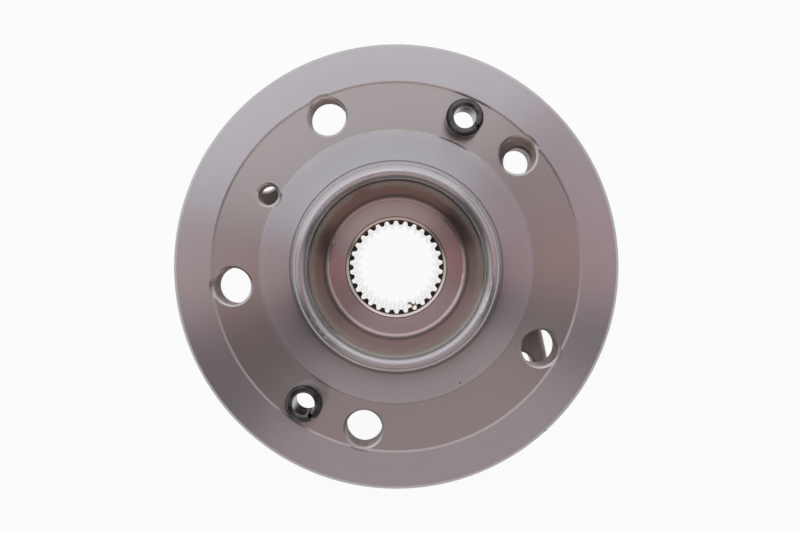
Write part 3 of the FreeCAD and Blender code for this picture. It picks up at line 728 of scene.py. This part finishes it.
class HUB_OT_finish_seals(bpy.types.Operator):
    """Gives the seals and the encoder ring their finishes"""

    bl_idname = "hub.finish_seals"
    bl_label = "Finish the seals"

    def execute(self, context):
        dress(SHEET_NODES, plain_turned("Pressed sheet", (0.58, 0.58, 0.58), 0.3, 0.3, 120.0))
        dress(LIP_NODES, moulded("Seal rubber", (0.022, 0.022, 0.022), (0.04, 0.04, 0.04), 0.55, 400.0, 0.00003))
        dress(["speed_encoder_ring"], moulded(
            "Encoder rubber", (0.05, 0.042, 0.036), (0.08, 0.07, 0.06), 0.5, 500.0, 0.00002))
        return {"FINISHED"}


def white_floor():
    """Pale floor, white to the camera and in reflections, with a faint shadow, and clear when seen from below."""
    material = bpy.data.materials.new("Pale floor")
    material.use_nodes = True
    tree = material.node_tree
    tree.nodes.remove(tree.nodes["Principled BSDF"])
    path = add(tree, "ShaderNodeLightPath")
    seen = maths(tree, "MAXIMUM", path.outputs["Is Camera Ray"], path.outputs["Is Glossy Ray"])
    seen = maths(tree, "MAXIMUM", seen, path.outputs["Is Transmission Ray"])
    plain = add(tree, "ShaderNodeBsdfDiffuse", inputs={"Color": (*FLOOR_COLOUR, 1.0)})
    white = add(tree, "ShaderNodeEmission", inputs={"Color": (1.0, 1.0, 1.0, 1.0), "Strength": 1.0})
    mix = add(tree, "ShaderNodeMixShader")
    tree.links.new(maths(tree, "MULTIPLY", seen, FLOOR_WHITE), mix.inputs[0])
    tree.links.new(plain.outputs[0], mix.inputs[1])
    tree.links.new(white.outputs[0], mix.inputs[2])
    clear = add(tree, "ShaderNodeBsdfTransparent")
    below = add(tree, "ShaderNodeMixShader")
    tree.links.new(add(tree, "ShaderNodeNewGeometry").outputs["Backfacing"], below.inputs[0])
    tree.links.new(mix.outputs[0], below.inputs[1])
    tree.links.new(clear.outputs[0], below.inputs[2])
    tree.links.new(below.outputs[0], tree.nodes["Material Output"].inputs["Surface"])
    return material


def build_floor(size):
    """Flat floor under the lowest point of the bearing."""
    half = size / 2
    z = cad_box[0][2] - FLOOR_GAP
    mesh = bpy.data.meshes.new("studio_floor")
    mesh.from_pydata([(-half, -half, z), (half, -half, z), (half, half, z), (-half, half, z)], [], [(0, 1, 2, 3)])
    floor = bpy.data.objects.new("studio_floor", mesh)
    mesh.materials.append(white_floor())
    bpy.context.scene.collection.objects.link(floor)


def panel_masks(tree, angle):
    """One mask for each panel, 1 in front of it and 0 past its soft edge."""
    masks = []
    for middle, half, soft, _ in PANELS.values():
        away = maths(tree, "SUBTRACT", angle, math.radians(middle) - math.pi)
        around = maths(tree, "SUBTRACT", maths(tree, "FLOORED_MODULO", away, 2 * math.pi), math.pi)
        off = maths(tree, "ABSOLUTE", around)
        masks.append(spread(tree, off, math.radians(half - soft / 2), math.radians(half + soft / 2), 1.0, 0.0))
    return masks


def panel_ring(tree, masks, band):
    """The dark room with all panels laid on, for one band of heights; returns its output socket."""
    colour = ROOM_COLOURS[band]
    for mask, (*_, colours) in zip(masks, PANELS.values()):
        colour = blended(tree, mask, colour, colours[band])
    return colour


def build_world():
    """Soft light from all round, in brighter and darker panels; the camera sees white past the floor."""
    world = bpy.data.worlds.new("Soft studio")
    bpy.context.scene.world = world
    world.use_nodes = True
    tree = world.node_tree
    back = tree.nodes["Background"]
    where = add(tree, "ShaderNodeTexCoord").outputs["Generated"]
    place = use_group(tree, "Polar place", Vector=where)
    masks = panel_masks(tree, place.outputs["Angle"])
    tilt = maths(tree, "ARCCOSINE", place.outputs["Height"])
    below_high = spread(tree, tilt, HIGH_TILT - SOFT_TILT, HIGH_TILT + SOFT_TILT)
    below_zenith = spread(tree, tilt, ZENITH_TILT - SOFT_TILT / 2, ZENITH_TILT + SOFT_TILT / 2)
    low_down = spread(tree, tilt, LOW_TILT - 2 * SOFT_TILT, LOW_TILT + 2 * SOFT_TILT)
    panels = blended(tree, below_high, panel_ring(tree, masks, 0), panel_ring(tree, masks, 1))
    panels = blended(tree, low_down, panels, panel_ring(tree, masks, 2))
    panels = blended(tree, below_zenith, ZENITH_COLOUR, panels)
    path = add(tree, "ShaderNodeLightPath")
    mirrored = maths(tree, "MAXIMUM", path.outputs["Is Glossy Ray"], path.outputs["Is Transmission Ray"])
    near_floor = maths(tree, "MULTIPLY", mirrored, spread(tree, tilt, HORIZON_TILT, math.radians(90)))
    shown = maths(tree, "MAXIMUM", path.outputs["Is Camera Ray"], near_floor)
    tree.links.new(blended(tree, shown, panels, (1.0, 1.0, 1.0)), back.inputs["Color"])
    back.inputs["Strength"].default_value = 1.0


def build_camera(studio):
    """Camera over the wheel side, where the photograph was taken from."""
    roll = Matrix.Rotation(-studio.camera_roll, 4, "Z")
    spot = roll @ Vector((*studio.camera_foot, studio.camera_distance))
    aim = roll @ Vector((*studio.camera_aim, 0))
    up = roll @ Vector((0, 1, 0))
    back = (spot - aim).normalized()
    right = up.cross(back).normalized()
    up = back.cross(right)
    data = bpy.data.cameras.new("photo_camera")
    data.sensor_width = 36.0
    data.lens = studio.lens
    data.clip_start = 0.01
    camera = bpy.data.objects.new("photo_camera", data)
    turn = Matrix((right, up, back)).transposed().to_4x4()
    camera.matrix_world = Matrix.Translation(spot) @ turn
    bpy.context.scene.collection.objects.link(camera)
    bpy.context.scene.camera = camera


class HUB_OT_build_stage(bpy.types.Operator):
    """Lays the floor and sets the light and the camera"""

    bl_idname = "hub.build_stage"
    bl_label = "Build the studio"

    def execute(self, context):
        _, studio = settings()
        build_floor(studio.floor_size)
        build_world()
        build_camera(studio)
        context.scene.view_settings.view_transform = "Standard"
        return {"FINISHED"}


class HUB_PT_panel(bpy.types.Panel):
    """Lists the steps that dress the bearing"""

    bl_label = "Hub bearing"
    bl_idname = "HUB_PT_panel"
    bl_space_type = "VIEW_3D"
    bl_region_type = "UI"
    bl_category = "Hub bearing"

    def draw(self, context):
        for group in settings():
            for name in group.__annotations__:
                self.layout.prop(group, name)
        for operator in OPERATORS:
            self.layout.operator(operator.bl_idname)


OPERATORS = (
    HUB_OT_finish_hub,
    HUB_OT_finish_sleeves,
    HUB_OT_finish_rings,
    HUB_OT_finish_rows,
    HUB_OT_finish_seals,
    HUB_OT_build_stage,
)
CLASSES = (HubFinish, StudioSettings) + OPERATORS + (HUB_PT_panel,)


def register():
    """Registers the classes and the settings."""
    for item in CLASSES:
        bpy.utils.register_class(item)
    bpy.types.Scene.hub_finish = PointerProperty(type=HubFinish)
    bpy.types.Scene.hub_studio = PointerProperty(type=StudioSettings)


def unregister():
    """Takes the classes and the settings away again."""
    del bpy.types.Scene.hub_studio
    del bpy.types.Scene.hub_finish
    for item in reversed(CLASSES):
        bpy.utils.unregister_class(item)


def main():
    """Runs every step in order."""
    register()
    build_shared_groups()
    bpy.ops.hub.finish_hub()
    bpy.ops.hub.finish_sleeves()
    bpy.ops.hub.finish_rings()
    bpy.ops.hub.finish_rows()
    bpy.ops.hub.finish_seals()
    bpy.ops.hub.build_stage()


if __name__ == "__main__":
    main()
